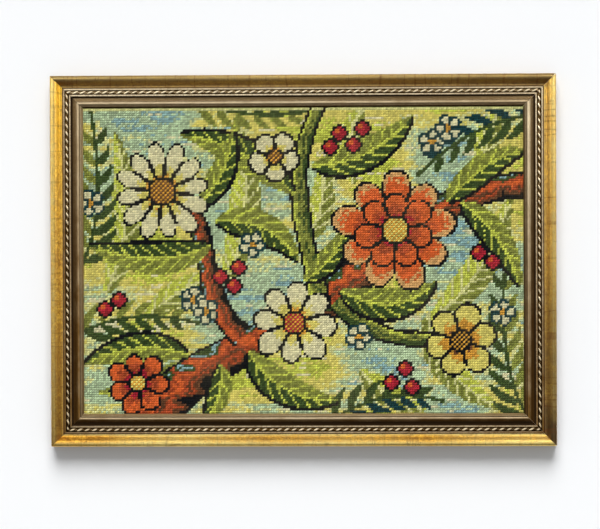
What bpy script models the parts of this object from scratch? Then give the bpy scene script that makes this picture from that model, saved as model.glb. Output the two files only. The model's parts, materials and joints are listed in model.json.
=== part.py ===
"""A framed needlepoint tapestry.

A wool-worked canvas sits in the rabbet of a mitred picture moulding, which has a gold-leaf ogee
outside and bronze steps inside, with a rope ornament laid in a channel between two fillets.
The picture faces -Y, +X is to its right and +Z is up. The origin is on the back of the top rail,
where the frame hangs, and the wall would be the plane Y = 0.
"""

import math

import bmesh
import bpy
from mathutils import Vector

MM = 0.001

# Needlework: tent stitch on a canvas of ten threads to the inch.
STITCH = 2.5 * MM
STITCHES_ACROSS = 190
STITCHES_UP = 132
ROWS_UNDER_LIP = 1
CANVAS_THICKNESS = 1.1 * MM
WORKED_THICKNESS = 2.6 * MM

# Clear space between neighbouring pieces.
GAP = 0.3 * MM

# Moulding section. Insets are measured from the outer edge towards the picture, and heights from
# the wall towards the viewer.
RAIL_WIDTH = 35.5 * MM
BACK_CHAMFER = 0.8 * MM
SIDE_HEIGHT = 17.0 * MM
CROWN_INSET = 4.2 * MM
CROWN_HEIGHT = 22.0 * MM
OGEE_END_INSET = 11.9 * MM
OGEE_END_HEIGHT = 15.5 * MM
GILT_EDGE_INSET = 13.1 * MM
QUIRK_END_INSET = 14.1 * MM
QUIRK_HEIGHT = 14.0 * MM
FILLET_HEIGHT = 15.2 * MM
CHANNEL_START_INSET = 15.6 * MM
CHANNEL_END_INSET = 20.4 * MM
CHANNEL_FLOOR = 12.4 * MM
GROOVE_START_INSET = 22.3 * MM
GROOVE_END_INSET = 23.4 * MM
GROOVE_FLOOR = 11.6 * MM
COVE_END_HEIGHT = 13.6 * MM
BEAD_INSET = 29.5 * MM
BEAD_FOOT_HEIGHT = 14.3 * MM
BEAD_HALF_WIDTH = 1.35 * MM
BEAD_RISE = 0.95 * MM
STEP_INSET = 32.6 * MM
STEP_HEIGHT = 12.9 * MM
STEP_DROP = 0.45 * MM
SIGHT_EDGE_HEIGHT = 11.2 * MM
RABBET_WIDTH = 5.5 * MM
RABBET_HEIGHT = 8.0 * MM
SOFT_EDGE = 0.35 * MM

# Rope ornament.
ROPE_PITCH = 8.0 * MM
ROPE_HALF_WIDTH = 2.1 * MM
ROPE_CENTRE_HEIGHT = 13.6 * MM
ROPE_EDGE_HEIGHT = 13.4 * MM
ROPE_LAY = 3.6 * MM  # how far a strand runs on for each radian round the rope
ROPE_EDGE_ANGLE = math.radians(75)
ROPE_FLANK_ANGLE = math.radians(38)
# One pitch of the rope: a fat strand and a thin one. Place along the pitch, radius there.
ROPE_LINES = (
    (0.00, 1.25 * MM),
    (0.27, 2.10 * MM),
    (0.55, 1.35 * MM),
    (0.78, 1.80 * MM),
)

# The hanging point lies this far below the frame's top edge, in the middle of the rail's back.
HANG_INSET = 15.0 * MM

SIGHT_WIDTH = STITCHES_ACROSS * STITCH
SIGHT_HEIGHT = STITCHES_UP * STITCH
OUTER_WIDTH = SIGHT_WIDTH + 2 * RAIL_WIDTH
OUTER_HEIGHT = SIGHT_HEIGHT + 2 * RAIL_WIDTH
MITRE_SETBACK = GAP / math.sqrt(2)  # measured along the rail
ROPE_INSET = (CHANNEL_START_INSET + CHANNEL_END_INSET) / 2

# Name, quarter turns clockwise as seen from the front, half length, distance from the centre.
SIDES = (
    ("top", 0, OUTER_WIDTH / 2, OUTER_HEIGHT / 2),
    ("right", 1, OUTER_HEIGHT / 2, OUTER_WIDTH / 2),
    ("bottom", 2, OUTER_WIDTH / 2, OUTER_HEIGHT / 2),
    ("left", 3, OUTER_HEIGHT / 2, OUTER_WIDTH / 2),
)

GILT, BRONZE, BARE = range(3)
SMOOTH_ANGLE = math.radians(40)


def clear_scene():
    for obj in list(bpy.data.objects):
        bpy.data.objects.remove(obj, do_unlink=True)


def finish_material(name, colour, roughness, metallic):
    material = bpy.data.materials.new(name)
    material.use_nodes = True
    shader = material.node_tree.nodes["Principled BSDF"]
    shader.inputs["Base Color"].default_value = (*colour, 1.0)
    shader.inputs["Roughness"].default_value = roughness
    shader.inputs["Metallic"].default_value = metallic
    material.diffuse_color = (*colour, 1.0)
    return material


def arc(centre, radii, start, end, steps):
    """Points of an ellipse's arc, from one angle in degrees to another."""
    angles = [math.radians(start + (end - start) * i / steps) for i in range(steps + 1)]
    return [
        (centre[0] + radii[0] * math.cos(a), centre[1] + radii[1] * math.sin(a))
        for a in angles
    ]


def ease(start, end, steps):
    """An S-curve, level at both ends."""
    points = []
    for i in range(steps + 1):
        t = i / steps
        share = (1 - math.cos(math.pi * t)) / 2
        points.append((start[0] + (end[0] - start[0]) * t, start[1] + (end[1] - start[1]) * share))
    return points


def cove(start, end, steps):
    """A hollow curve, level at its start and steepest at its end."""
    points = []
    for i in range(steps + 1):
        t = i / steps
        share = 1 - math.cos(math.pi / 2 * t)
        points.append((start[0] + (end[0] - start[0]) * t, start[1] + (end[1] - start[1]) * share))
    return points


def ridge(start_inset, end_inset, floor_before, top, floor_after):
    """A flat-topped fillet with softened edges, between two lower floors."""
    soft = (SOFT_EDGE, SOFT_EDGE)
    rise = arc((start_inset + SOFT_EDGE, top - SOFT_EDGE), soft, 180, 90, 3)
    fall = arc((end_inset - SOFT_EDGE, top - SOFT_EDGE), soft, 90, 0, 3)
    return [(start_inset, floor_before), *rise, *fall, (end_inset, floor_after)]


def front_bands():
    """The moulding's front, outer side to sight edge, as (finish, points) stretches."""
    shoulder = arc((CROWN_INSET, SIDE_HEIGHT), (CROWN_INSET, CROWN_HEIGHT - SIDE_HEIGHT), 180, 90, 10)
    ogee = ease((CROWN_INSET, CROWN_HEIGHT), (OGEE_END_INSET, OGEE_END_HEIGHT), 16)
    gilt_edge = arc(
        (GILT_EDGE_INSET - SOFT_EDGE, OGEE_END_HEIGHT - SOFT_EDGE), (SOFT_EDGE, SOFT_EDGE), 90, 0, 3
    )
    quirk = [(GILT_EDGE_INSET, QUIRK_HEIGHT)]
    outer_fillet = ridge(
        QUIRK_END_INSET, CHANNEL_START_INSET, QUIRK_HEIGHT, FILLET_HEIGHT, CHANNEL_FLOOR
    )
    inner_fillet = ridge(
        CHANNEL_END_INSET, GROOVE_START_INSET, CHANNEL_FLOOR, FILLET_HEIGHT, GROOVE_FLOOR
    )
    slope = cove(
        (GROOVE_END_INSET, GROOVE_FLOOR), (BEAD_INSET - BEAD_HALF_WIDTH, COVE_END_HEIGHT), 8
    )
    bead = arc((BEAD_INSET, BEAD_FOOT_HEIGHT), (BEAD_HALF_WIDTH, BEAD_RISE), 180, 0, 10)
    step = [
        (BEAD_INSET + BEAD_HALF_WIDTH, STEP_HEIGHT + STEP_DROP),
        (STEP_INSET, STEP_HEIGHT),
        (STEP_INSET, STEP_HEIGHT - STEP_DROP),
    ]
    sight_lip = arc(
        (RAIL_WIDTH - 2 * SOFT_EDGE, SIGHT_EDGE_HEIGHT - 2 * SOFT_EDGE),
        (2 * SOFT_EDGE, 2 * SOFT_EDGE),
        75,
        0,
        4,
    )
    return [
        (GILT, shoulder + ogee[1:] + gilt_edge),
        (BRONZE, quirk + outer_fillet),
        (BRONZE, inner_fillet + slope),
        (BRONZE, bead + step + sight_lip),
    ]


def moulding_section():
    """The whole section as (inset, height, finish of the face that starts there)."""
    rabbet_inset = RAIL_WIDTH - RABBET_WIDTH
    section = [(0.0, BACK_CHAMFER, GILT)]
    for finish, points in front_bands():
        section += [(inset, height, finish) for inset, height in points]
    section += [
        (RAIL_WIDTH, RABBET_HEIGHT, BARE),
        (rabbet_inset, RABBET_HEIGHT, BARE),
        (rabbet_inset, 0.0, BARE),
        (BACK_CHAMFER, 0.0, BARE),
    ]
    return section


def mesh_object(name, bm, materials):
    bmesh.ops.recalc_face_normals(bm, faces=bm.faces)
    mesh = bpy.data.meshes.new(name)
    bm.to_mesh(mesh)
    bm.free()
    mesh.shade_smooth()
    mesh.set_sharp_from_angle(angle=SMOOTH_ANGLE)
    obj = bpy.data.objects.new(name, mesh)
    for material in materials:
        obj.data.materials.append(material)
    bpy.context.scene.collection.objects.link(obj)
    return obj


def hang_on(obj, centre, quarter_turns=0):
    """Places a piece, built about the frame's centre as if for the top side."""
    obj.parent = centre
    obj.rotation_euler = (0.0, quarter_turns * math.pi / 2, 0.0)


def build_rail(side, half_length, offset, materials):
    """One mitred length of moulding, along X, with its outer edge at Z = offset."""
    section = moulding_section()
    bm = bmesh.new()
    ends = []
    for sign in (-1, 1):
        ring = []
        for inset, height, _ in section:
            reach = half_length - inset - MITRE_SETBACK
            ring.append(bm.verts.new((sign * reach, -height, offset - inset)))
        ends.append(ring)
    for i, (_, _, finish) in enumerate(section):
        j = (i + 1) % len(section)
        face = bm.faces.new((ends[0][i], ends[0][j], ends[1][j], ends[1][i]))
        face.material_index = finish
    for ring in ends:
        bm.faces.new(ring).material_index = BARE
    return mesh_object(f"rail_{side}", bm, materials)


def rope_line(bm, place, radius, offset):
    """Points across the rope, from its inner edge to its outer one, along one strand's line."""
    points = []
    for angle in (-ROPE_EDGE_ANGLE, -ROPE_FLANK_ANGLE, 0.0, ROPE_FLANK_ANGLE, ROPE_EDGE_ANGLE):
        along = place + ROPE_LAY * angle
        across = radius * math.sin(angle)
        height = ROPE_CENTRE_HEIGHT + radius * math.cos(angle)
        if abs(angle) == ROPE_EDGE_ANGLE:
            across = math.copysign(ROPE_HALF_WIDTH, angle)
            height = ROPE_EDGE_HEIGHT
        points.append(bm.verts.new((along, -height, offset - ROPE_INSET + across)))
    return points


def cut_mitre(bm, sign, half_length, offset):
    """Cuts one end at 45 degrees and closes it."""
    cut = bmesh.ops.bisect_plane(
        bm,
        geom=bm.verts[:] + bm.edges[:] + bm.faces[:],
        dist=1e-7,
        plane_co=(sign * (half_length - ROPE_INSET - MITRE_SETBACK), 0.0, offset - ROPE_INSET),
        plane_no=Vector((sign, 0.0, -1.0)).normalized(),
        clear_outer=True,
    )
    rim = [item for item in cut["geom_cut"] if isinstance(item, bmesh.types.BMEdge)]
    bmesh.ops.contextual_create(bm, geom=rim)


def build_rope(side, half_length, offset, material):
    """One length of rope ornament, laid in the channel of its rail."""
    floor = CHANNEL_FLOOR + GAP
    spare = ROPE_LAY * ROPE_EDGE_ANGLE + ROPE_HALF_WIDTH + ROPE_PITCH
    turns = math.ceil((half_length - ROPE_INSET + spare) / ROPE_PITCH)
    bm = bmesh.new()
    lines = []
    for turn in range(-turns, turns):
        for place, radius in ROPE_LINES:
            lines.append(rope_line(bm, (turn + place) * ROPE_PITCH, radius, offset))
    for first, second in zip(lines, lines[1:]):
        for i in range(len(first) - 1):
            bm.faces.new((first[i], first[i + 1], second[i + 1], second[i]))
    count = len(ROPE_LINES)
    feet = [
        [bm.verts.new((line[end].co.x, -floor, line[end].co.z)) for end in (0, -1)]
        for line in lines[::count]
    ]
    for turn, (here, there) in enumerate(zip(feet, feet[1:])):
        span = lines[turn * count : turn * count + count + 1]
        bm.faces.new((here[0], here[1], there[1], there[0]))
        for end in (0, 1):
            bm.faces.new((here[end], *(line[-end] for line in span), there[end]))
    for sign in (-1, 1):
        cut_mitre(bm, sign, half_length, offset)
    return mesh_object(f"rope_{side}", bm, [material])


def build_canvas(material):
    """The worked canvas: a bare margin, and a thicker field where the stitches are."""
    rabbet_width = SIGHT_WIDTH + 2 * RABBET_WIDTH
    rabbet_height = SIGHT_HEIGHT + 2 * RABBET_WIDTH
    worked_width = SIGHT_WIDTH + 2 * ROWS_UNDER_LIP * STITCH
    margin = (rabbet_width - 2 * GAP - worked_width) / 2
    front = RABBET_HEIGHT - GAP
    back = front - WORKED_THICKNESS
    bm = bmesh.new()
    bmesh.ops.create_cube(bm, size=1.0)
    size = Vector((rabbet_width - 2 * GAP, CANVAS_THICKNESS, rabbet_height - 2 * GAP))
    bmesh.ops.scale(bm, vec=size, verts=bm.verts)
    bmesh.ops.translate(bm, vec=(0.0, -(back + CANVAS_THICKNESS / 2), 0.0), verts=bm.verts)
    bm.faces.ensure_lookup_table()
    face = min(bm.faces, key=lambda item: item.calc_center_median().y)
    bmesh.ops.inset_region(bm, faces=[face], thickness=margin)
    raised = bmesh.ops.extrude_face_region(bm, geom=[face])["geom"]
    corners = [item for item in raised if isinstance(item, bmesh.types.BMVert)]
    bmesh.ops.translate(bm, vec=(0.0, CANVAS_THICKNESS - WORKED_THICKNESS, 0.0), verts=corners)
    bmesh.ops.delete(bm, geom=[face], context="FACES_ONLY")
    return mesh_object("tapestry_canvas", bm, [material])


def main():
    clear_scene()
    gilt = finish_material("gold_leaf", (0.58, 0.36, 0.10), 0.38, 0.85)
    bronze = finish_material("bronze_leaf", (0.30, 0.22, 0.13), 0.42, 0.80)
    bare = finish_material("bare_wood", (0.42, 0.28, 0.16), 0.80, 0.0)
    rope = finish_material("rope_leaf", (0.52, 0.44, 0.30), 0.35, 0.85)
    wool = finish_material("worked_wool", (0.42, 0.48, 0.25), 0.95, 0.0)

    centre = bpy.data.objects.new("frame_centre", None)
    centre.location = (0.0, 0.0, HANG_INSET - OUTER_HEIGHT / 2)
    bpy.context.scene.collection.objects.link(centre)

    for side, quarter_turns, half_length, offset in SIDES:
        rail = build_rail(side, half_length, offset, [gilt, bronze, bare])
        hang_on(rail, centre, quarter_turns)
        ornament = build_rope(side, half_length, offset, rope)
        hang_on(ornament, centre, quarter_turns)
    hang_on(build_canvas(wool), centre)


main()
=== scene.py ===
"""Looks of a framed needlepoint tapestry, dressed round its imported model.

Four lengths of gilt moulding, four rope ornaments and a canvas on which each tent stitch is a tuft
of wool. The picture faces -Y, +X is to its right and +Z is up, in metres. The back is at Y = 0.
"""
import json
import math

import bmesh
import bpy
import numpy as np
from mathutils import Matrix, Vector

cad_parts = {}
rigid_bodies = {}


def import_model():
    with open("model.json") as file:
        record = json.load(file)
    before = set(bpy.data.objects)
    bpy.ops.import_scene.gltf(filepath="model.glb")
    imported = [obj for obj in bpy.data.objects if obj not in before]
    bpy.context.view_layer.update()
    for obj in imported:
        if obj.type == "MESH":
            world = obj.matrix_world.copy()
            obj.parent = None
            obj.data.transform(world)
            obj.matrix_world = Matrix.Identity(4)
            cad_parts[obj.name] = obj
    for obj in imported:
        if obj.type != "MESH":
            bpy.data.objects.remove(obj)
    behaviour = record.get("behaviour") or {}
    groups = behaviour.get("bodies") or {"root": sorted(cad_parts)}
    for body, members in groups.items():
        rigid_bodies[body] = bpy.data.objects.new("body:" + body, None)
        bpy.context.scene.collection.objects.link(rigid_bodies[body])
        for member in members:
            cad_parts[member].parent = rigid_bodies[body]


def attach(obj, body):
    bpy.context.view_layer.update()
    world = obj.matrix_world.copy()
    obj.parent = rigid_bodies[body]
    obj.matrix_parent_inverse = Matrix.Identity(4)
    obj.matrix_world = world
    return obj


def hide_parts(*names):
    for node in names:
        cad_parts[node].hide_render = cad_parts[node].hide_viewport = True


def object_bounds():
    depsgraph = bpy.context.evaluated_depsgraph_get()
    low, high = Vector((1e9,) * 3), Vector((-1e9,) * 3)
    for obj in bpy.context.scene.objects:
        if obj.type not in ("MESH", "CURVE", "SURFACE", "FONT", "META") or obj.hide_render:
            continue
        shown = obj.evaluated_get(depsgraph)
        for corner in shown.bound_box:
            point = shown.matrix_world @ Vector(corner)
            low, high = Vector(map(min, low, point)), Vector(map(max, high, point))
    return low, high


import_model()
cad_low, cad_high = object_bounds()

MM = 0.001

# Overall size, read from the frame.
OUTER_WIDTH = cad_high.x - cad_low.x
OUTER_HEIGHT = cad_high.z - cad_low.z
CENTRE_HEIGHT = (cad_high.z + cad_low.z) / 2
SIDES = (  # name, quarter turns from the top, half its length, distance from the centre
    ("top", 0, OUTER_WIDTH / 2, OUTER_HEIGHT / 2),
    ("right", 1, OUTER_HEIGHT / 2, OUTER_WIDTH / 2),
    ("bottom", 2, OUTER_WIDTH / 2, OUTER_HEIGHT / 2),
    ("left", 3, OUTER_HEIGHT / 2, OUTER_WIDTH / 2),
)

# Moulding section, within a millimetre of that of the solids. Insets run from the outer edge towards
# the picture, and heights from the back towards the viewer. Points are (inset, height).
RAIL_WIDTH = 35.0 * MM
BACK_CHAMFER = 0.8 * MM
SIDE_HEIGHT = 17.0 * MM
CROWN = (3.4 * MM, 22.0 * MM)
OGEE_END = (11.9 * MM, 15.5 * MM)
GILT_EDGE_INSET = 13.1 * MM
QUIRK_END_INSET = 14.1 * MM
QUIRK_HEIGHT = 14.0 * MM
FILLET_HEIGHT = 15.2 * MM
CHANNEL_START_INSET = 15.6 * MM
CHANNEL_END_INSET = 20.4 * MM
CHANNEL_FLOOR = 12.4 * MM
GROOVE_START_INSET = 22.3 * MM
GROOVE_END_INSET = 23.4 * MM
GROOVE_FLOOR = 11.6 * MM
COVE_END_HEIGHT = 13.6 * MM
BEAD = (29.9 * MM, 14.3 * MM)  # the middle of its foot
BEAD_HALF_WIDTH = 1.35 * MM
BEAD_RISE = 0.95 * MM
LIP_GROOVE_END = (31.8 * MM, 13.0 * MM)
LIP_FILLET = (32.1 * MM, 13.35 * MM)
STEP = (33.3 * MM, 12.7 * MM)
SIGHT_EDGE_HEIGHT = 11.2 * MM
RABBET_WIDTH = 5.0 * MM
RABBET_HEIGHT = 8.0 * MM
SOFT_EDGE = 0.35 * MM
LIP_RADIUS = 2 * SOFT_EDGE
LIP_ANGLE = 75  # degrees that its front edge is rounded by
# Pieces of each curve.
CROWN_STEPS, OGEE_STEPS, SOFT_STEPS, COVE_STEPS, BEAD_STEPS, LIP_STEPS = 14, 20, 5, 12, 12, 6
FLANK_TOP = 15.6 * MM  # below this the outer side is thinly gilded and dusty
FLANK_GLAZE = 0.5
ARRIS_REACH = 0.8 * MM  # an arris is compared with the surface this far to each side
ARRIS_RISE = 0.4 * MM  # standing out this far counts as a full arris
SURFACE_SAMPLES = 720
GAP = 0.3 * MM
MITRE_SETBACK = GAP / math.sqrt(2)
RAIL_CUTS = 24  # divisions along a rail
RAIL_SMOOTH = 32  # degrees between faces that still shade as one
PATTERN_SHIFT = 3.0  # metres along the leaf's pattern, from one side of the frame to the next
GILT, BRONZE, BARE = range(3)

# The old finish, with painted light and shade. Tables give a share for an inset in millimetres; rows
# give them along a side, at equal distances from its start to its end, going clockwise.
NOWHERE = (0.0, 0.0)
EVERYWHERE = {0.0: 1.0, 35.0: 1.0}
GLAZE_AND_SHADE = {  # dark glaze and painted shade, most in the channel, the grooves and at the sight edge
    11.6: 0.0, 12.9: 0.2, 13.2: 0.6, 13.9: 0.6, 14.1: 0.1, 15.3: 0.1, 15.6: 0.7, 20.4: 1.0,
    20.7: 0.1, 21.2: 0.05, 22.0: 0.4, 22.4: 0.9, 23.4: 1.0, 24.2: 0.4, 26.6: 0.2, 28.4: 0.3,
    28.9: 0.0, 30.8: 0.0, 31.2: 0.7, 31.8: 0.7, 32.1: 0.25, 33.2: 0.3, 33.4: 0.5, 34.4: 0.6,
    35.0: 0.9,
}
SIDE_PAINTED_SHADE = {  # painted shade, more or less of it on one side; less of it is painted light
    "top": {
        23.4: 0.0, 24.2: -0.3, 25.5: -0.1, 26.6: 0.15, 28.3: 0.25, 28.8: 0.0, 30.9: 0.0,
        31.2: -0.35, 31.8: -0.35, 32.1: 0.15, 33.3: 0.2,
    },
    "right": {
        12.9: 0.0, 13.2: 0.4, 13.9: 0.4, 14.2: 0.0, 23.4: 0.0, 24.0: 0.12, 26.4: 0.15, 27.6: 0.0,
        28.3: -0.2, 28.8: 0.0, 30.0: 0.0, 30.8: 0.25, 31.2: -0.25, 31.8: -0.25, 32.1: 0.15,
        33.3: 0.15, 34.4: 0.0,
    },
    "bottom": {
        12.9: 0.0, 13.2: 0.4, 13.9: 0.4, 14.1: 0.1, 15.3: 0.1, 15.6: 0.0, 23.4: 0.0, 24.0: 0.6,
        25.5: 0.45, 27.5: 0.0, 30.9: 0.0, 31.2: -0.1, 33.2: -0.15, 34.4: -0.4, 35.0: -0.5,
    },
    "left": {
        12.9: 0.0, 13.2: 0.15, 13.9: 0.15, 15.3: 0.05, 15.6: 0.0, 30.9: 0.0, 31.2: -0.3, 31.8: -0.3,
        32.1: 0.0, 33.3: 0.0, 34.4: -0.35, 35.0: -0.4,
    },
}
PALE = {  # paler leaf: rubbed on raised parts, with painted highlight on the crown, gilt edge, fillets and bead
    4.0: 0.6, 5.6: 0.2, 10.6: 0.05, 11.9: 0.25, 12.5: 0.4, 13.1: 0.4, 13.9: 0.2, 14.3: 1.0,
    22.1: 1.0, 22.4: 0.1, 26.5: 0.1, 28.4: 0.4, 28.9: 0.9, 30.6: 0.9, 31.2: 0.3, 31.8: 0.3,
    32.1: 0.45, 33.2: 0.4, 33.4: 0.1,
}
SIDE_PAINTED_HIGHLIGHT = {  # painted highlight, more or less of it on one side
    "top": {11.9: 0.0, 12.5: -0.15, 13.1: -0.15, 13.9: 0.0},
    "right": {11.9: 0.12, 12.5: 0.0, 27.2: 0.0, 28.0: 0.5, 28.6: 0.5, 29.4: 0.0},
    "bottom": {4.0: 0.4, 5.6: 0.25, 10.6: 0.25, 11.9: 0.4, 12.5: 0.9, 13.1: 0.9, 13.3: 0.0},
    "left": {11.9: 0.0, 12.5: -0.2, 13.1: -0.2, 13.9: 0.0},
}
PAINTED_HIGHLIGHT_ALONG = {  # painted highlight, more or less of it along the gilt band
    "right": (0.15, 0.0, 0.0),
    "bottom": (0.15, 0.15, 0.0, -0.3, -0.1, 0.05, -0.05, -0.15, 0.15, 0.45, 0.2, -0.3, -0.45),
    "left": (0.0, 0.0, 0.35),
}
PAINTED_HIGHLIGHT_REACH = {"left": {5.0: 1.0, 8.5: 0.1}}  # across it, and whole where not given
PAINTED_LIGHT_ALONG = {"left": (0.0, 0.0, 0.0, 0.3, 0.7)}  # painted light: deeper yellow along the gilt band
PAINTED_LIGHT_REACH = {5.0: 0.2, 8.5: 1.0}  # across it
GILT_PAINTED_SHADE = {  # painted shade: browner along the gilt band
    "top": (0.42, 0.10, 0.55),
    "right": (0.0, 0.27, 1.0),
    "left": (0.50, 0.02, 0.0),
}
TOP_PAINTED_SHADE = {"top": 0.45}  # painted shade: greyed gold
LAPS = {"top": 1.0, "right": 1.15, "bottom": 0.55, "left": 0.65}  # how clear the leaf's laps are
BRONZE_PAINTED_SHADE = {  # painted shade: browner across the bronze
    "top": {23.4: 0.0, 24.2: 0.2, 28.4: 0.1, 29.0: 0.3, 31.2: 0.2},
    "right": {13.0: 0.6, 22.3: 0.55, 23.4: 1.0, 25.0: 0.9, 28.0: 0.5, 35.0: 0.6},
    "bottom": {13.0: 0.75, 16.0: 0.5, 22.3: 0.3, 23.4: 1.0, 28.4: 0.8, 29.0: 0.6, 31.2: 0.15},
    "left": {13.0: 1.1, 16.0: 0.9, 20.0: 0.6, 23.4: 0.9, 28.4: 0.9, 30.6: 0.8, 31.4: 0.3},
}
BRONZE_SHADE_ALONG = {  # more or less of the painted shade along the bronze
    "top": (0.05, 0.0, 0.3),
    "right": (-0.55, 0.0, 0.45),
    "bottom": (0.25, -0.08, 0.2),
    "left": (0.25, -0.05, -0.5),
}
MOST_BRONZE_SHADE = 1.25
WARM_GLOSS = (1.0, 0.72, 0.36, 1.0)  # tint of the leaf's shine

# Rope ornament: one fat strand and one thin one in each pitch.
ROPE_INSET = (CHANNEL_START_INSET + CHANNEL_END_INSET) / 2
ROPE_PITCH = 8.0 * MM
ROPE_HALF_WIDTH = 2.1 * MM
ROPE_CENTRE_HEIGHT = 13.6 * MM
ROPE_EDGE_HEIGHT = 13.4 * MM
ROPE_LAY = 2.3 * MM  # how far along a strand gets for each radian round the rope
ROPE_EDGE_ANGLE = math.radians(75)
ROPE_GROOVE_RADIUS = 0.85 * MM
ROPE_STRANDS = ((0.27, 0.27, 2.15 * MM), (0.78, 0.14, 1.35 * MM))  # place, half width, radius
ROPE_UNEVEN = 0.10  # spread of the strands' height from pitch to pitch
ROPE_CREST_RISE = 1.1 * MM  # what stands out this far is rubbed clean and carries painted highlight
ROPE_CREST_POWER = 3.5  # the higher, the narrower the clean part
ROPE_SHADE_SHARE = 0.35  # share of the bronze's painted shade
ROPE_PAINTED_SHADE = {"top": 0.72, "right": 1.0, "bottom": 1.0, "left": 1.0}  # how dark its hollows are, with umber and painted shade, lighter on the top side
ROPE_STEPS = 20  # along one pitch
ROPE_ARC_STEPS = 12
ROPE_SMOOTH = 60  # degrees, as for the rails
ROPE_SEED = 40

# Needlework: tent stitch on a canvas of ten threads to the inch.
STITCH = 2.5 * MM
STITCHES_ACROSS = round((OUTER_WIDTH - 2 * RAIL_WIDTH) / STITCH)
STITCHES_UP = round((OUTER_HEIGHT - 2 * RAIL_WIDTH) / STITCH)
ROWS_UNDER_LIP = 1
COLUMNS = STITCHES_ACROSS + 2 * ROWS_UNDER_LIP
ROWS = STITCHES_UP + 2 * ROWS_UNDER_LIP
CANVAS_THICKNESS = 1.1 * MM
CANVAS_BACK = 5.1 * MM
CANVAS_FRONT = CANVAS_BACK + CANVAS_THICKNESS
BARE_CANVAS = (200, 186, 152)
UNDER_SHADE = 0.7  # the canvas under the stitches, beside their yarn
CHART_SEED = 7
STITCH_SEED = 11
STRAY = 0.07 * MM  # how far a stitch sits from its place
DRIFTS = ((0.30 * MM, 5.1, 0.6), (0.35 * MM, 6.7, 1.1))  # across and up: size, waves, their start
TONE, TONE_SPREAD = 0.54, 0.38  # of a stitch, between its yarn's dark and light

# Yarns, as seen in daylight (sRGB, 0 to 255).
YARNS = {
    "sage": (164, 182, 146),
    "celery": (220, 220, 152),
    "straw": (234, 222, 118),
    "sky": (128, 160, 158),
    "lime": (178, 184, 74),
    "fern": (122, 128, 56),
    "forest": (56, 74, 34),
    "black": (10, 13, 16),
    "teal": (16, 54, 56),
    "rust": (160, 72, 38),
    "orange": (216, 104, 48),
    "ochre": (200, 148, 54),
    "cream": (244, 238, 190),
    "crimson": (156, 32, 46),
    "brown": (98, 62, 38),
    "sand": (222, 174, 110),
}
YARN_NAMES = list(YARNS)
YARN_LIFT = 1.28  # wool's own colour, over what it shows with the shadows between stitches
YARN_PALEST = 0.92
YARN_LIGHT, YARN_DARK = 1.5, 0.38  # its fibres with painted sheen and its hollows with painted shade, beside its own colour


def linear(colour):
    """An sRGB colour from 0 to 255 as the linear RGBA that shaders take."""
    shares = [c / 255 for c in colour]
    return (*[s / 12.92 if s <= 0.04045 else ((s + 0.055) / 1.055) ** 2.4 for s in shares], 1.0)


class Graph:
    """A material's or the world's nodes, and short ways to add those that are used here."""

    def __init__(self, owner, shader):
        owner.use_nodes = True
        self.owner = owner
        self.tree = owner.node_tree
        self.shader = self.tree.nodes[shader]

    def feed(self, socket, value):
        if isinstance(value, bpy.types.NodeSocket):
            self.tree.links.new(value, socket)
        else:
            socket.default_value = value

    def node(self, kind, inputs=(), **settings):
        node = self.tree.nodes.new(kind)
        for key, value in settings.items():
            setattr(node, key, value)
        for key, value in dict(inputs).items():
            self.feed(node.inputs[key], value)
        return node

    def place(self):
        return self.node("ShaderNodeTexCoord").outputs["Object"]

    def uv(self, name):
        return self.node("ShaderNodeUVMap", uv_map=name).outputs["UV"]

    def value(self, name, output="Fac"):
        return self.node("ShaderNodeAttribute", attribute_name=name).outputs[output]

    def stretch(self, vector, scale):
        return self.node("ShaderNodeMapping", {"Vector": vector, "Scale": scale}).outputs["Vector"]

    def noise(self, vector, scale, detail, roughness, distortion=0.0):
        inputs = {"Vector": vector, "Scale": scale, "Detail": detail}
        inputs.update({"Roughness": roughness, "Distortion": distortion})
        return self.node("ShaderNodeTexNoise", inputs).outputs[0]

    def cells(self, vector, scale):
        inputs = {"Vector": vector, "Scale": scale}
        return self.node("ShaderNodeTexVoronoi", inputs).outputs["Distance"]

    def maths(self, operation, first, second=0.0):
        node = self.node("ShaderNodeMath", {0: first, 1: second}, operation=operation)
        return node.outputs[0]

    def times(self, first, second):
        return self.maths("MULTIPLY", first, second)

    def plus(self, first, second):
        return self.maths("ADD", first, second)

    def most(self, first, second):
        return self.maths("MAXIMUM", first, second)

    def wave(self, turns):
        return self.maths("SINE", self.times(turns, math.tau))

    def span(self, value, low, high, start=0.0, end=1.0):
        """Value brought from low..high to start..end, and held there."""
        inputs = {"Value": value, "From Min": low, "From Max": high, "To Min": start, "To Max": end}
        return self.node("ShaderNodeMapRange", inputs).outputs["Result"]

    def mix(self, share, first, second, mode="MIX"):
        """Two values or colours mixed. A triple is an sRGB colour from 0 to 255."""
        node = self.node("ShaderNodeMix", data_type="RGBA", blend_type=mode)
        self.feed(node.inputs[0], share)
        for place, colour in ((6, first), (7, second)):
            triple = isinstance(colour, tuple) and len(colour) == 3
            self.feed(node.inputs[place], linear(colour) if triple else colour)
        return node.outputs[2]

    def bump(self, height, depth, strength, under=None):
        inputs = {"Height": height, "Distance": depth, "Strength": strength}
        if under is not None:
            inputs["Normal"] = under
        return self.node("ShaderNodeBump", inputs).outputs["Normal"]

    def set(self, **inputs):
        """Sets or links the shader's sockets; underscores stand for spaces."""
        for key, value in inputs.items():
            self.feed(self.shader.inputs[key.replace("_", " ")], value)
        return self.owner


def new_material(name):
    return Graph(bpy.data.materials.new(name), "Principled BSDF")


def band_line(graph, value, centre, half_width):
    """1 where value is within half_width of centre, fading to 0 at its edges."""
    away = graph.maths("ABSOLUTE", graph.maths("SUBTRACT", value, centre))
    return graph.span(away, half_width, half_width * 0.3)


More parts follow.
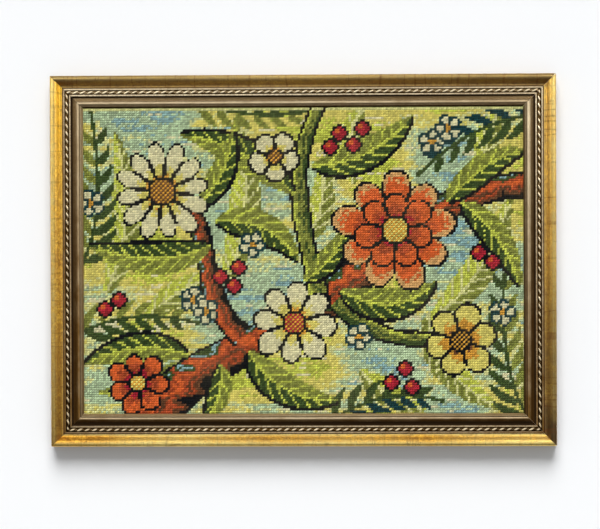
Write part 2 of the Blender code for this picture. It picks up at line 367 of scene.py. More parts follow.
def gold_leaf():
    """Leaf over red bole: mottled, with cross cracks, lap lines, worn arrises and dark glazing.

    It also carries painted shade in its hollows and along its sides, and painted light and highlight.
    """
    g = new_material("gold_leaf")
    place = g.place()
    strip = g.uv("moulding")
    clouds = g.noise(place, 34, 4, 0.55)
    mottle = g.noise(place, 420, 5, 0.62, 0.4)
    smears = g.noise(g.stretch(strip, (0.22, 1.0, 1.0)), 300, 4, 0.6, 0.3)
    blotches = g.noise(place, 125, 4, 0.6, 0.8)
    tone = g.mix(g.span(mottle, 0.38, 0.62), (188, 126, 38), (255, 206, 80))
    tone = g.mix(g.span(clouds, 0.35, 0.7, 0.0, 0.6), tone, (222, 160, 50))
    tone = g.mix(g.span(blotches, 0.44, 0.62, 0.0, 0.7), tone, (176, 116, 38))
    worn_and_lit = g.plus(g.times(smears, 0.5), g.times(blotches, 0.5))
    # Paler where the leaf is rubbed, and painted highlight.
    pale = g.times(g.value("pale"), g.span(worn_and_lit, 0.36, 0.6, 0.35, 1.1))
    tone = g.mix(pale, tone, (252, 230, 142))
    # Painted light: deeper yellow.
    tone = g.mix(g.value("painted_light"), tone, (248, 196, 52))
    tone = g.mix(g.span(smears, 0.50, 0.66, 0.0, 0.45), tone, (150, 98, 34))
    # Painted shade: greyed gold.
    tone = g.mix(g.value("dull"), tone, (150, 132, 100))
    # Painted shade: browner along each side.
    painted_shade = g.times(g.value("painted_shade"), g.span(clouds, 0.3, 0.7, 0.75, 1.2))
    tone = g.mix(painted_shade, tone, (94, 74, 46))
    # Dark glaze and painted shade in the hollows.
    glaze_and_shade = g.span(g.plus(g.value("hollow"), g.times(mottle, 0.5)), 0.45, 1.0)
    colour = g.mix(glaze_and_shade, tone, (62, 40, 20))
    cross = g.noise(g.stretch(strip, (1.0, 0.14, 1.0)), 120, 4, 0.65, 0.5)
    cracks = g.times(band_line(g, cross, 0.56, 0.014), g.span(blotches, 0.47, 0.62))
    laps = band_line(g, g.noise(g.stretch(strip, (1.0, 0.05, 1.0)), 24, 2, 0.5, 0.2), 0.5, 0.009)
    laps = g.times(laps, g.span(smears, 0.35, 0.6, 0.2, 0.9))
    laps = g.times(laps, g.value("laps"))
    lines = g.most(cracks, laps)
    colour = g.mix(g.times(lines, 0.6), colour, (104, 58, 22))
    rub_noise = g.noise(place, 240, 6, 0.7)
    rub = g.span(g.times(g.value("arris"), rub_noise), 0.42, 0.6)
    colour = g.mix(g.times(rub, 0.7), colour, (120, 62, 30))
    specks = g.span(g.cells(place, 160), 0.09, 0.04)
    specks = g.times(specks, g.span(clouds, 0.45, 0.6))
    colour = g.mix(g.times(specks, 0.6), colour, (50, 30, 14))
    dull = g.most(g.most(lines, rub), glaze_and_shade)
    rough = g.plus(g.span(mottle, 0.2, 0.8, 0.34, 0.50), g.times(dull, 0.15))
    relief = g.plus(g.times(blotches, 2.0), g.plus(mottle, smears))
    normal = g.bump(relief, 0.12 * MM, 0.5)
    normal = g.bump(lines, 0.05 * MM, 0.5, normal)
    return g.set(
        Base_Color=colour,
        Roughness=rough,
        Metallic=g.span(dull, 0.0, 1.0, 0.92, 0.55),
        Normal=normal,
        Specular_IOR_Level=0.3,
        Specular_Tint=WARM_GLOSS,
        Coat_Weight=0.15,
        Coat_Roughness=0.28,
    )


def bronze_leaf(
    name="bronze_leaf",
    pale=(240, 222, 184),
    deep=(152, 128, 88),
    umbers=((38, 22, 4), (38, 22, 4)),
    metal=0.8,
    clean=0.15,
    coat=0.08,
):
    """Champagne bronze leaf: pale where it is worn and where a highlight is painted, streaked along,
    with umbers and painted shade in each hollow.

    The two umbers are those of a hollow with little and with much painted shade. What is under the
    share clean has none.
    """
    g = new_material(name)
    place = g.place()
    strip = g.uv("moulding")
    clouds = g.noise(place, 60, 4, 0.55)
    streaks = g.noise(g.stretch(strip, (0.04, 1.0, 1.0)), 2600, 4, 0.6)
    mottle = g.noise(place, 700, 4, 0.6)
    # Pale where the leaf is rubbed, and painted highlight.
    worn_and_lit = g.plus(g.value("pale"), g.span(streaks, 0.3, 0.7, -0.18, 0.18))
    tone = g.mix(g.span(worn_and_lit, 0.1, 0.95), deep, pale)
    tone = g.mix(g.span(clouds, 0.4, 0.75, 0.0, 0.4), tone, (150, 122, 80))
    # Painted shade: browner by side.
    painted_shade = g.times(g.value("painted_shade"), g.span(clouds, 0.3, 0.7, 0.8, 1.15))
    tone = g.mix(painted_shade, tone, (152, 124, 80), "MULTIPLY")
    # Umber and painted shade in the hollows.
    umber_and_shade = g.plus(g.value("hollow"), g.span(mottle, 0.3, 0.8, -0.12, 0.16))
    umber_and_shade = g.span(umber_and_shade, clean, 0.72)
    lit_umber, shaded_umber = umbers
    # A darker umber where there is more painted shade.
    dark = g.mix(g.span(g.value("painted_shade"), 0.05, 0.36), lit_umber, shaded_umber)
    colour = g.mix(umber_and_shade, tone, dark)
    rub = g.span(g.times(g.value("arris"), mottle), 0.46, 0.62)
    colour = g.mix(g.times(rub, 0.4), colour, (110, 76, 44))
    rough = g.plus(g.span(streaks, 0.2, 0.8, 0.30, 0.44), g.times(umber_and_shade, 0.25))
    normal = g.bump(g.plus(streaks, mottle), 0.03 * MM, 0.5)
    return g.set(
        Base_Color=colour,
        Roughness=rough,
        Metallic=g.span(umber_and_shade, 0.0, 1.0, metal, 0.2),
        Normal=normal,
        Specular_IOR_Level=0.2,
        Specular_Tint=WARM_GLOSS,
        Coat_Weight=coat,
        Coat_Roughness=0.3,
    )


def bare_wood():
    """Old unpainted softwood on the back and in the rabbet."""
    g = new_material("bare_wood")
    place = g.place()
    strip = g.uv("moulding")
    grain = g.noise(g.stretch(strip, (0.03, 1.0, 1.0)), 900, 5, 0.6, 0.6)
    pores = g.noise(g.stretch(strip, (0.10, 1.0, 1.0)), 4200, 3, 0.6)
    stain = g.noise(place, 22, 4, 0.6)
    colour = g.mix(g.span(grain, 0.3, 0.7), (120, 82, 50), (186, 142, 94))
    colour = g.mix(g.span(stain, 0.35, 0.75, 0.0, 0.6), colour, (94, 64, 42))
    colour = g.mix(g.span(pores, 0.55, 0.75, 0.0, 0.5), colour, (70, 46, 30))
    normal = g.bump(g.plus(grain, pores), 0.15 * MM, 0.6)
    return g.set(Base_Color=colour, Roughness=g.span(grain, 0.2, 0.8, 0.7, 0.9), Normal=normal)


def wool(name, colour):
    """Four-ply tapestry wool: twisted plies, loose fibres and an uneven dye."""
    g = new_material(f"wool_{name}")
    place = g.place()
    strand = g.uv("yarn")
    tone = g.value("tone")
    shift = g.times(tone, 91.7)
    parts = g.node("ShaderNodeSeparateXYZ", {0: strand})
    along, across = parts.outputs[0], parts.outputs[1]
    turn = g.plus(g.times(across, 3.2), g.times(along, 1.6))
    plies = g.wave(g.plus(turn, shift))
    offset = g.node("ShaderNodeCombineXYZ", {0: shift, 1: tone})
    spread = g.node("ShaderNodeVectorMath", {0: strand, 1: offset.outputs[0]}, operation="ADD")
    fibres = g.noise(g.stretch(spread.outputs[0], (2.2, 15.0, 1.0)), 3.0, 5, 0.7, 0.8)
    fade = g.noise(place, 14, 3, 0.55)
    own = np.array(linear(colour)[:3])
    own = own * min(YARN_LIFT, YARN_PALEST / own.max())
    light = (*(own * min(YARN_LIGHT, YARN_PALEST / own.max()) + 0.004), 1.0)
    dark = (*(own * YARN_DARK), 1.0)
    base = (*own, 1.0)
    shade = g.mix(g.span(tone, 0.0, 1.0), dark, light)
    shade = g.mix(0.12, shade, base)
    # Painted sheen on the loose fibres, and painted shade between the plies.
    shade = g.mix(g.span(fibres, 0.35, 0.7, 0.0, 0.45), shade, light)
    shade = g.mix(g.span(plies, -1.0, -0.3, 0.4, 0.0), shade, dark)
    shade = g.mix(g.span(fade, 0.4, 0.75, 0.0, 0.08), shade, (214, 200, 150))
    relief = g.plus(g.times(plies, 0.5), g.times(fibres, 1.4))
    normal = g.bump(relief, 0.16 * MM, 0.7)
    return g.set(
        Base_Color=shade,
        Roughness=0.92,
        Sheen_Weight=0.03,
        Sheen_Roughness=0.5,
        Specular_IOR_Level=0.06,
        Normal=normal,
    )


def canvas_cloth():
    """Stiffened cotton canvas, its threads crossing between the holes, tinted where it is worked."""
    g = new_material("canvas_cloth")
    place = g.place()
    scale = g.stretch(place, (1 / STITCH, 1.0, 1 / STITCH))
    parts = g.node("ShaderNodeSeparateXYZ", {0: scale})
    threads = g.most(g.wave(parts.outputs[0]), g.wave(parts.outputs[2]))
    fibres = g.noise(place, 2400, 4, 0.65)
    holes = g.span(threads, -0.55, -0.1, 1.0, 0.0)
    cotton = g.mix(fibres, (176, 158, 124), (226, 212, 180))
    worked = g.value("work", "Color")
    covered = g.value("worked")
    bars = g.wave(g.plus(parts.outputs[0], g.times(parts.outputs[2], 2.0)))
    # Painted shade in the lines between the stitches.
    shade = g.mix(g.span(bars, -1.0, 0.2, 0.7, 0.0), worked, (24, 22, 18))
    shade = g.mix(g.span(fibres, 0.4, 0.7, 0.0, 0.3), shade, worked)
    colour = g.mix(covered, cotton, shade)
    # Painted shade in the holes of the bare canvas.
    shown = g.times(holes, g.maths("SUBTRACT", 1.0, covered))
    colour = g.mix(g.times(shown, 0.85), colour, (46, 38, 28))
    relief = g.mix(covered, threads, bars)
    normal = g.bump(relief, 0.45 * MM, 0.8)
    normal = g.bump(fibres, 0.10 * MM, 0.6, normal)
    return g.set(Base_Color=colour, Roughness=0.93, Specular_IOR_Level=0.2, Normal=normal)


def arc(centre, radii, start, end, steps):
    """Points of an ellipse's arc, from one angle in degrees to another."""
    angles = [math.radians(start + (end - start) * i / steps) for i in range(steps + 1)]
    return [
        (centre[0] + radii[0] * math.cos(a), centre[1] + radii[1] * math.sin(a)) for a in angles
    ]


def sweep(start, end, steps, rise):
    """A curve from start to end whose climb follows rise, a function of 0 to 1."""
    points = []
    for i in range(steps + 1):
        t = i / steps
        inset = start[0] + (end[0] - start[0]) * t
        points.append((inset, start[1] + (end[1] - start[1]) * rise(t)))
    return points


def ogee_rise(t):
    """A rise from 0 to 1 that gathers over its first half and eases off over its last quarter."""
    first, last = 0.5, 0.25
    slope = 1 / (1 - (first + last) / 2)
    if t < first:
        return slope * t * t / (2 * first)
    if t > 1 - last:
        return 1 - slope * (1 - t) ** 2 / (2 * last)
    return slope * (t - first / 2)


def cove_rise(t):
    """A rise from 0 to 1 that starts level, as a quarter of a round hollow does."""
    return 1 - math.cos(math.pi / 2 * t)


def ridge(start_inset, end_inset, floor_before, top, floor_after):
    """A flat-topped fillet with softened edges, between two lower floors."""
    soft = (SOFT_EDGE, SOFT_EDGE)
    rise = arc((start_inset + SOFT_EDGE, top - SOFT_EDGE), soft, 180, 90, SOFT_STEPS)
    fall = arc((end_inset - SOFT_EDGE, top - SOFT_EDGE), soft, 90, 0, SOFT_STEPS)
    return [(start_inset, floor_before), *rise, *fall, (end_inset, floor_after)]


def moulding_section():
    """The whole section as (inset, height, finish of the face that starts there)."""
    shoulder_size = (CROWN[0], CROWN[1] - SIDE_HEIGHT)
    edge_centre = (GILT_EDGE_INSET - SOFT_EDGE, OGEE_END[1] - SOFT_EDGE)
    cove_end = (BEAD[0] - BEAD_HALF_WIDTH, COVE_END_HEIGHT)
    lip_centre = (RAIL_WIDTH - LIP_RADIUS, SIGHT_EDGE_HEIGHT - LIP_RADIUS)
    gilt = (
        arc((CROWN[0], SIDE_HEIGHT), shoulder_size, 180, 90, CROWN_STEPS)
        + sweep(CROWN, OGEE_END, OGEE_STEPS, ogee_rise)[1:]
        + arc(edge_centre, (SOFT_EDGE, SOFT_EDGE), 90, 0, SOFT_STEPS)
    )
    bronze = (
        [(GILT_EDGE_INSET, QUIRK_HEIGHT)]
        + ridge(QUIRK_END_INSET, CHANNEL_START_INSET, QUIRK_HEIGHT, FILLET_HEIGHT, CHANNEL_FLOOR)
        + ridge(CHANNEL_END_INSET, GROOVE_START_INSET, CHANNEL_FLOOR, FILLET_HEIGHT, GROOVE_FLOOR)
        + sweep((GROOVE_END_INSET, GROOVE_FLOOR), cove_end, COVE_STEPS, cove_rise)
        + arc(BEAD, (BEAD_HALF_WIDTH, BEAD_RISE), 180, 0, BEAD_STEPS)
        + [(BEAD[0] + BEAD_HALF_WIDTH, LIP_GROOVE_END[1]), LIP_GROOVE_END]
        + [LIP_FILLET, (STEP[0], LIP_FILLET[1]), STEP]
        + arc(lip_centre, (LIP_RADIUS, LIP_RADIUS), LIP_ANGLE, 0, LIP_STEPS)
    )
    rabbet_inset = RAIL_WIDTH - RABBET_WIDTH
    rabbet = [(RAIL_WIDTH, RABBET_HEIGHT), (rabbet_inset, RABBET_HEIGHT), (rabbet_inset, 0.0)]
    bare = [*rabbet, (BACK_CHAMFER, 0.0)]
    section = [(0.0, BACK_CHAMFER, GILT), (0.0, FLANK_TOP, GILT)]
    for finish, points in ((GILT, gilt), (BRONZE, bronze), (BARE, bare)):
        section += [(inset, height, finish) for inset, height in points]
    return section


def along_side(row, place):
    """A row's value at places along a side, from -1 at its start to 1 at its end."""
    return np.interp(place, np.linspace(-1.0, 1.0, len(row)), row)


def by_inset(table, insets):
    """A table's shares at insets in metres."""
    return np.interp(insets / MM, list(table), list(table.values()))


def section_relief(section):
    """For each point of the section: its share of glazing and painted shade, and how far it stands
    out as an arris.
    """
    front = [(inset, height) for inset, height, finish in section[1:] if finish != BARE]
    insets, heights = np.array(front).T
    fine = np.linspace(0.0, RAIL_WIDTH, SURFACE_SAMPLES)
    surface = np.interp(fine, insets, heights)
    hollow, arris = [], []
    for inset, height, finish in section:
        if finish == BARE or inset == 0.0:
            hollow.append(FLANK_GLAZE if inset == 0.0 and height <= FLANK_TOP else 0.0)
            arris.append(0.0)
            continue
        close = surface[np.abs(fine - inset) < ARRIS_REACH]
        hollow.append(by_inset(GLAZE_AND_SHADE, inset))
        arris.append(np.clip((height - close.mean()) / ARRIS_RISE, 0.0, 1.0))
    return np.array(hollow), np.array(arris)


def new_object(name, mesh, materials):
    obj = bpy.data.objects.new(name, mesh)
    for material in materials:
        mesh.materials.append(material)
    bpy.context.scene.collection.objects.link(obj)
    return obj


def ring_faces(rings, size):
    """Four-cornered faces between rings of points that follow each other, each ring closed."""
    first = np.arange(rings - 1)[:, None] * size + np.arange(size)
    after = np.roll(first, -1, axis=1)
    return np.stack([first, after, after + size, first + size], axis=-1).reshape(-1, 4)


def set_values(mesh, name, values):
    """A number for each vertex, for the materials to read."""
    layer = mesh.attributes.new(name, "FLOAT", "POINT")
    layer.data.foreach_set("value", np.asarray(values, np.float32))


def set_uv(mesh, name, per_vertex):
    """A UV map whose corners take their vertex's value."""
    corners = np.empty(len(mesh.loops), np.int32)
    mesh.loops.foreach_get("vertex_index", corners)
    layer = mesh.uv_layers.new(name=name)
    layer.data.foreach_set("uv", np.asarray(per_vertex, np.float32)[corners].ravel())


def turned(points, quarter_turns):
    """Points built about the frame's centre as for the top side, brought to their own side."""
    turn = Matrix.Rotation(quarter_turns * math.pi / 2, 3, "Y")
    placed = np.asarray(points) @ np.array(turn).T
    placed[:, 2] += CENTRE_HEIGHT
    return placed


def finish_shares(side, insets, places):
    """What the leaf reads, for each place along a side and each inset there."""
    on_gilt = insets <= GILT_EDGE_INSET
    even = np.ones((len(places), len(insets)))

    def along(rows):
        return along_side(rows.get(side, NOWHERE), places)[:, None]

    # Rubbed leaf with painted highlight, and painted light and shade by side.
    pale = by_inset(PALE, insets) + by_inset(SIDE_PAINTED_HIGHLIGHT[side], insets)
    fade = along(PAINTED_HIGHLIGHT_ALONG) * by_inset(PAINTED_HIGHLIGHT_REACH.get(side, EVERYWHERE), insets)
    bronze_shade = by_inset(BRONZE_PAINTED_SHADE[side], insets) + along(BRONZE_SHADE_ALONG)
    return {
        "pale": pale + np.where(on_gilt, fade, 0.0),
        "painted_light": along(PAINTED_LIGHT_ALONG) * by_inset(PAINTED_LIGHT_REACH, insets),
        "painted_shade": np.where(on_gilt, along(GILT_PAINTED_SHADE), np.clip(bronze_shade, 0.0, MOST_BRONZE_SHADE)),
        "dull": TOP_PAINTED_SHADE.get(side, 0.0) * even,
        "laps": LAPS[side] * even,
    }


def build_rail(side, quarter_turns, half_length, offset, materials):
    """One mitred length of moulding, with its finishes by face."""
    section = moulding_section()
    hollow, arris = section_relief(section)
    insets, heights, finish = np.array(section).T
    count = len(section)
    girth = np.append(0.0, np.cumsum(np.hypot(np.diff(insets), np.diff(heights))))
    places = np.linspace(-1.0, 1.0, RAIL_CUTS + 1)
    along = places[:, None] * (half_length - insets - MITRE_SETBACK)
    rings = np.stack(np.broadcast_arrays(along, -heights, offset - insets), axis=-1)
    faces = ring_faces(RAIL_CUTS + 1, count).tolist()
    last = RAIL_CUTS * count
    faces += [range(count)[::-1], range(last, last + count)]
    finishes = [*np.tile(finish, RAIL_CUTS).astype(int).tolist(), BARE, BARE]
    mesh = bpy.data.meshes.new(f"moulding_{side}")
    mesh.from_pydata(turned(rings.reshape(-1, 3), quarter_turns), [], faces)
    mesh.polygons.foreach_set("material_index", finishes)
    # Painted shade, more or less of it on each side.
    hollow = np.clip(hollow + by_inset(SIDE_PAINTED_SHADE[side], insets), 0, 1)
    set_values(mesh, "hollow", np.tile(hollow, RAIL_CUTS + 1))
    set_values(mesh, "arris", np.tile(arris, RAIL_CUTS + 1))
    for name, shares in finish_shares(side, insets, places).items():
        set_values(mesh, name, shares.ravel())
    strip = np.stack(np.broadcast_arrays(along + PATTERN_SHIFT * quarter_turns, girth), axis=-1)
    set_uv(mesh, "moulding", strip.reshape(-1, 2))
    obj = new_object(f"moulding_{side}", mesh, materials)
    smooth(obj, RAIL_SMOOTH)
    return obj


def smooth(obj, degrees):
    """Turns the faces outwards, and shades as one what meets at no more than so many degrees."""
    bm = bmesh.new()
    bm.from_mesh(obj.data)
    bmesh.ops.recalc_face_normals(bm, faces=bm.faces)
    bm.to_mesh(obj.data)
    bm.free()
    obj.data.shade_smooth()
    obj.data.set_sharp_from_angle(angle=math.radians(degrees))


def rope_radius(places, swell):
    """Radius of the twisted rope at places counted in pitches, with each pitch's own swell."""
    turn = np.floor(places).astype(int)
    part = places - turn
    radius = np.full(places.shape, ROPE_GROOVE_RADIUS)
    for centre, half_width, peak in ROPE_STRANDS:
        gap = np.abs(part - centre)
        gap = np.minimum(gap, 1 - gap) / half_width
        lobe = np.sqrt(np.clip(1 - gap**2, 0, None))
        top = ROPE_GROOVE_RADIUS + (peak - ROPE_GROOVE_RADIUS) * lobe * swell[turn]
        radius = np.maximum(radius, top)
    return radius


def with_foot(rows):
    """The rope's cross sections with two more points each, below the last and the first."""
    return np.concatenate([rows, rows[:, [-1, 0]]], axis=1)


def build_rope(side, quarter_turns, half_length, offset, material):
    """One length of rope ornament in its channel, mitred at both ends."""
    rng = np.random.default_rng(ROPE_SEED + quarter_turns)
    spare = ROPE_LAY * ROPE_EDGE_ANGLE + ROPE_HALF_WIDTH + ROPE_PITCH
    turns = math.ceil((half_length - ROPE_INSET + spare) / ROPE_PITCH)
    swell = 1 + ROPE_UNEVEN * rng.standard_normal(2 * turns + 2)
    places = np.linspace(-turns, turns, 2 * turns * ROPE_STEPS + 1)
    radius = rope_radius(places, swell)[:, None]
    angles = np.linspace(-ROPE_EDGE_ANGLE, ROPE_EDGE_ANGLE, ROPE_ARC_STEPS + 1)
    along = places[:, None] * ROPE_PITCH + ROPE_LAY * angles
    across = radius * np.sin(angles)
    height = ROPE_CENTRE_HEIGHT + radius * np.cos(angles)
    across[:, [0, -1]] = (-ROPE_HALF_WIDTH, ROPE_HALF_WIDTH)
    height[:, [0, -1]] = ROPE_EDGE_HEIGHT
    rings = with_foot(np.stack([along, -height, offset - ROPE_INSET + across], axis=-1))
    rings[:, -2:, 1] = -(CHANNEL_FLOOR + GAP)
    mesh = bpy.data.meshes.new(f"rope_{side}_fine")
    mesh.from_pydata(rings.reshape(-1, 3), [], ring_faces(*rings.shape[:2]).tolist())

    # Crests rubbed clean with painted highlight; grooves dark with umber and painted shade.
    crest = np.clip((radius - ROPE_GROOVE_RADIUS) / ROPE_CREST_RISE, 0, 1)
    hollow = with_foot(1 - crest * np.cos(angles) ** ROPE_CREST_POWER)
    hollow[:, -2:] = 1.0
    hollow = hollow * ROPE_PAINTED_SHADE[side]
    # Painted shade along the side, from the bronze's tables.
    painted_shade = by_inset(BRONZE_PAINTED_SHADE[side], ROPE_INSET) + along_side(BRONZE_SHADE_ALONG[side], along / half_length)
    set_values(mesh, "hollow", hollow.ravel())
    set_values(mesh, "arris", np.zeros(hollow.size))
    set_values(mesh, "pale", 1 - hollow.ravel())
    set_values(mesh, "painted_shade", with_foot(np.clip(painted_shade, 0.0, MOST_BRONZE_SHADE)).ravel() * ROPE_SHADE_SHARE)
    set_uv(mesh, "moulding", with_foot(np.stack([along, across], axis=-1)).reshape(-1, 2))
    bm = bmesh.new()
    bm.from_mesh(mesh)
    for sign in (-1, 1):
        cut_mitre(bm, sign, half_length, offset)
    bm.to_mesh(mesh)
    bm.free()
    mesh.transform(Matrix.Rotation(quarter_turns * math.pi / 2, 4, "Y"))
    mesh.transform(Matrix.Translation((0.0, 0.0, CENTRE_HEIGHT)))
    obj = new_object(f"rope_{side}_twist", mesh, [material])
    smooth(obj, ROPE_SMOOTH)
    return obj


def cut_mitre(bm, sign, half_length, offset):
    """Cuts one end at 45 degrees and closes it."""
    cut = bmesh.ops.bisect_plane(
        bm,
        geom=bm.verts[:] + bm.edges[:] + bm.faces[:],
        dist=1e-7,
        plane_co=(sign * (half_length - ROPE_INSET - MITRE_SETBACK), 0.0, offset - ROPE_INSET),
        plane_no=Vector((sign, 0.0, -1.0)).normalized(),
        clear_outer=True,
    )
    rim = [item for item in cut["geom_cut"] if isinstance(item, bmesh.types.BMEdge)]
    bmesh.ops.contextual_create(bm, geom=rim)


# The chart: one yarn for each stitch, row 0 at the bottom. Its shapes are measured in stitches.
X, Y = np.meshgrid(np.arange(COLUMNS) + 0.5, np.arange(ROWS) + 0.5)
RIB_PITCH, RIB_WIDTH, RIB_SLANT = 6, 1.5, 1.3
VEIN_HALF_WIDTH = 0.62
RAYS = 720  # in a flower
KNOTS = 9  # along a branch
FERN_POINTS, FERN_STEM, FERN_SPAN = 200, 20, 170  # along its rib: all, bare, with leaflets


def cloud(rng, across, up):
    """Smooth noise over the chart, from 0 to 1, off a coarse grid of random values."""
    grid = rng.random((up + 2, across + 2))
    u, v = X / COLUMNS * across, Y / ROWS * up
    i, j = np.floor(u).astype(int), np.floor(v).astype(int)
    fu, fv = u - i, v - j
    fu, fv = fu * fu * (3 - 2 * fu), fv * fv * (3 - 2 * fv)
    low = grid[j, i] * (1 - fu) + grid[j, i + 1] * fu
    high = grid[j + 1, i] * (1 - fu) + grid[j + 1, i + 1] * fu
    return low * (1 - fv) + high * fv


def put(chart, where, yarn):
    chart[where] = YARN_NAMES.index(yarn)


def put_bands(chart, where, level, bands):
    """Yarns for a rising level, each of them up to its own limit."""
    low = -math.inf
    for limit, yarn in bands:
        put(chart, where & (level >= low) & (level < limit), yarn)
        low = limit


def curve(points, count=90):
    """Points along a Bezier curve."""
    t = np.linspace(0, 1, count)[:, None]
    level = [np.array(p, float)[None, :] for p in points]
    while len(level) > 1:
        level = [a * (1 - t) + b * t for a, b in zip(level, level[1:])]
    return level[0]


def beside(points):
    """Each stitch's place along a curve (0 to 1) and signed distance off it, and its length."""
    line = curve(points)
    steps = np.diff(line, axis=0)
    run = np.concatenate([[0], np.cumsum(np.hypot(*steps.T))])
    gap = (X[..., None] - line[:, 0]) ** 2 + (Y[..., None] - line[:, 1]) ** 2
    near = gap.argmin(-1)
    k = np.minimum(near, len(steps) - 1)
    dx, dy = X - line[near, 0], Y - line[near, 1]
    side = np.sign(steps[k, 0] * dy - steps[k, 1] * dx)
    return run[near] / run[-1], side * np.sqrt(gap.min(-1)), run[-1]


def leaf(chart, points, width, light, dark, vein=None, edge=None, ribs=None):
    """A pointed leaf, light on one side of its vein and dark on the other, with slanted ribs."""
    along, side, length = beside(points)
    away = np.abs(side)
    half = width / 2 * np.sin(np.pi * np.clip(along, 0.001, 0.999) ** 0.8) ** 0.8
    inside = away < half
    put(chart, inside & (side > 0), light)
    put(chart, inside & (side <= 0), dark)
    if ribs:
        stripes = (along * length - away * RIB_SLANT) % RIB_PITCH < RIB_WIDTH
        put(chart, inside & stripes & (along > 0.08) & (along < 0.92), ribs)
    if edge:
        put(chart, inside & (away > half - 0.6) & (side < 0), edge)
        put(chart, (away >= half) & (away < half + 0.9) & (half > 0.7) & (side < 0), edge)
    if vein:
        put(chart, (away < VEIN_HALF_WIDTH) & (along < 0.9), vein)


def bloom(chart, rng, centre, radius, petals, bands, edge, turn, notch=0.3):
    """A flower from above: bands of yarns in broken rays, notched petals, seams and a rim."""
    dx, dy = X - centre[0], Y - centre[1]
    r, a = np.hypot(dx, dy), np.arctan2(dy, dx) + turn
    phase = (a * petals / math.tau) % 1
    off = np.abs(phase - 0.5) * 2
    which = np.floor(a * petals / math.tau).astype(int) % petals
    reach = radius * (0.9 + 0.14 * rng.random(petals))[which] * (1 - notch * off**2.4)
    inside = r < reach
    ray = rng.random(RAYS)[((a / math.tau) % 1 * (RAYS - 1)).astype(int)]
    put_bands(chart, inside, r / reach + 0.16 * (ray - 0.5), bands)
    seam = off > 1 - 1.5 * petals / (math.tau * np.maximum(r, 1))
    put(chart, inside & seam & (r > radius * 0.25), edge)
    put(chart, (r >= reach - 0.15) & (r < reach + 1.0), edge)


def disc(chart, centre, radius, yarn, edge):
    """A round spot with a rim. Returns each stitch's distance from its centre."""
    r = np.hypot(X - centre[0], Y - centre[1])
    put(chart, r < radius + 1.0, edge)
    put(chart, r < radius, yarn)
    return r


def seeds(chart, centre, radius, one, two, edge):
    """A flower's middle, with two yarns in turn."""
    r = disc(chart, centre, radius, one, edge)
    put(chart, ((X.astype(int) + Y.astype(int)) % 2 == 0) & (r < radius), two)


def berry(chart, centre, radius, yarn, glint, edge):
    disc(chart, centre, radius, yarn, edge)
    shine = np.hypot(X - centre[0] + radius * 0.35, Y - centre[1] - radius * 0.4)
    put(chart, shine < radius * 0.4, glint)


def fern(chart, points, reach, pairs, light, dark, rib):
    """A rib with pairs of slender leaflets, shorter towards the tip."""
    line = curve(points, FERN_POINTS)
    for k in range(pairs):
        at = int(FERN_STEM + k / pairs * FERN_SPAN)
        base, ahead = line[at], line[min(at + 6, FERN_POINTS - 1)]
        heading = math.atan2(ahead[1] - base[1], ahead[0] - base[0])
        size = reach * (1 - 0.55 * k / pairs)
        for hand, yarn in ((1, light), (-1, dark)):
            a, b = heading + hand * 0.95, heading + hand * 0.62
            middle = base + size * 0.55 * np.array([math.cos(a), math.sin(a)])
            tip = base + size * np.array([math.cos(b), math.sin(b)])
            leaf(chart, [base, middle, tip], 2.4 + size * 0.09, yarn, yarn)
    put(chart, np.abs(beside(points)[1]) < 0.75, rib)


def branch(chart, rng, points, start_width, end_width, bands, edge):
    """A knotted branch: streaks of several yarns run along it, with a dark line on each side."""
    along, side, _ = beside(points)
    away = np.abs(side)
    swell = np.interp(along * KNOTS, np.arange(KNOTS + 2), rng.random(KNOTS + 2))
    half = (start_width + (end_width - start_width) * along) / 2 * (0.86 + 0.3 * swell)
    on = (along > 0) & (along < 1)
    streaks = side / half + 0.9 * (cloud(rng, 40, 40) - 0.5)
    put_bands(chart, on & (away < half), streaks, bands)
    put(chart, on & (away >= half - 0.35) & (away < half + 0.75), edge)


def paint_ground(chart, rng):
    """Level broken streaks of the pale yarns, with cream glints."""
    streaks = 0.55 * cloud(rng, 11, 66) + 0.45 * cloud(rng, 26, 134)
    patches = cloud(rng, 6, 8)
    fine = rng.random((ROWS, COLUMNS))
    tone = 0.55 * patches + 0.4 * streaks + 0.09 * fine
    limits = (*np.quantile(tone, (0.06, 0.46, 0.64, 0.90)), math.inf)
    put_bands(chart, True, tone, zip(limits, ("sky", "sage", "celery", "straw", "lime")))
    put(chart, (cloud(rng, 24, 134) > 0.80) & (fine > 0.15), "cream")
    put(chart, (cloud(rng, 18, 134) > 0.9) & (patches < 0.5), "sky")


# What the chart shows, from its lower left corner. Lines are the points of Bezier curves.
FAR_LEAVES = (
    (((10, 52), (26, 84), (14, 124)), 13),
    (((62, 56), (78, 92), (66, 130)), 14),
    (((150, 40), (178, 60), (186, 96)), 14),
    (((150, 44), (150, 18), (182, 2)), 13),
    (((60, 30), (38, 10), (6, 10)), 12),
    (((118, 100), (112, 120), (124, 136)), 11),
    (((26, 40), (44, 60), (70, 62)), 11),
    (((120, 20), (132, 6), (150, 2)), 11),
    (((176, 100), (172, 120), (184, 136)), 11),
    (((96, 74), (108, 90), (104, 112)), 11),
)
FERNS = (
    (((-2, 62), (12, 84), (4, 132)), 17, 8, "fern", "forest"),
    (((196, -6), (178, 18), (184, 70)), 17, 8, "forest", "fern"),
    (((104, -6), (128, 14), (156, 6)), 15, 6, "forest", "teal"),
    (((46, 138), (74, 126), (100, 132)), 13, 6, "forest", "fern"),
    (((-4, 34), (20, 48), (50, 40)), 14, 6, "fern", "forest"),
    (((200, 130), (170, 128), (146, 104)), 15, 6, "forest", "teal"),
)
BARK = (  # yarns across a branch, each up to its limit
    (-0.72, "black"), (-0.42, "brown"), (-0.2, "rust"), (0.0, "brown"), (0.22, "rust"),
    (0.5, "orange"), (0.66, "rust"), (0.8, "forest"), (0.94, "sky"), (9, "forest"),
)
